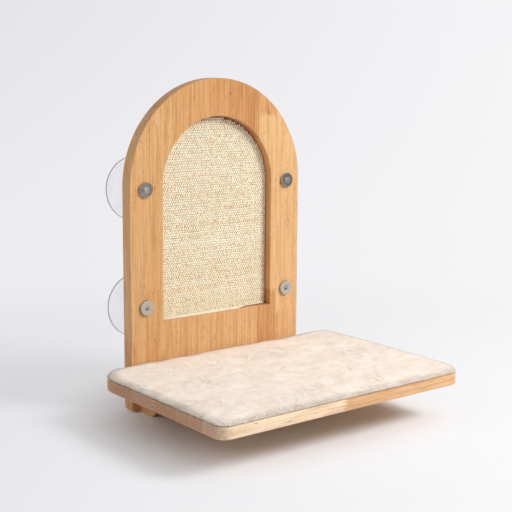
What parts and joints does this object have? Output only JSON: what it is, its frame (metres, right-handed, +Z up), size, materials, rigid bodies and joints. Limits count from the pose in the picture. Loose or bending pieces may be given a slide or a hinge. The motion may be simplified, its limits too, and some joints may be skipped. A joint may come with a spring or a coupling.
{
  "type": "window mounted cat perch",
  "caption": "Arched wooden panel held on window glass by suction cups, with a framed woven scratch face and a bracketed seat board that carries a thin lift-off plush pad.",
  "frame": {"origin": "on the window glass, at the centre of the rectangle formed by the four suction cups", "axes": "+X along the seat towards the right as seen from the room, +Y through the glass and away from the room, +Z up"},
  "size_m": [0.412, 0.316, 0.465],
  "materials": {
    "panel_wood": "clear satin lacquer on light hardwood",
    "seat_wood": "clear satin lacquer on light hardwood",
    "bracket_wood": "clear satin lacquer on light hardwood",
    "plywood": "plain thin plywood",
    "sisal": "coarse woven sisal, natural cream",
    "screw_steel": "zinc plated",
    "stud_steel": "zinc plated",
    "nut_steel": "nickel plated, lightly brushed",
    "clear_cup": "clear soft vinyl",
    "hook_tape": "woven hook tape",
    "loop_tape": "napped loop tape",
    "backing_cloth": "plain woven backing",
    "foam": "thin open foam sheet",
    "plush": "short cream plush, mottled nap"
  },
  "bodies": {
    "perch": {"back_panel": "panel_wood", "backer_board": "plywood", "sisal_mat": "sisal", "backer_screws": "screw_steel", "suction_cup_upper_left": "clear_cup", "suction_cup_upper_right": "clear_cup", "suction_cup_lower_left": "clear_cup", "suction_cup_lower_right": "clear_cup", "cup_stud_upper_left": "stud_steel", "cup_stud_upper_right": "stud_steel", "cup_stud_lower_left": "stud_steel", "cup_stud_lower_right": "stud_steel", "cap_nut_upper_left": "nut_steel", "cap_nut_upper_right": "nut_steel", "cap_nut_lower_left": "nut_steel", "cap_nut_lower_right": "nut_steel", "seat_board": "seat_wood", "left_bracket": "bracket_wood", "right_bracket": "bracket_wood", "bracket_screws": "screw_steel", "seat_edge_screws": "screw_steel", "seat_screws": "screw_steel", "hook_strips": "hook_tape"},
    "pad": {"loop_strips": "loop_tape", "pad_backing": "backing_cloth", "foam_sheet": "foam", "plush_cover": "plush"}
  },
  "joints": [
    {"name": "pad_lift", "type": "slide", "parent": "perch", "child": "pad", "axis": [0, 0, 1], "range_m": [0, 0.06]}
  ]
}
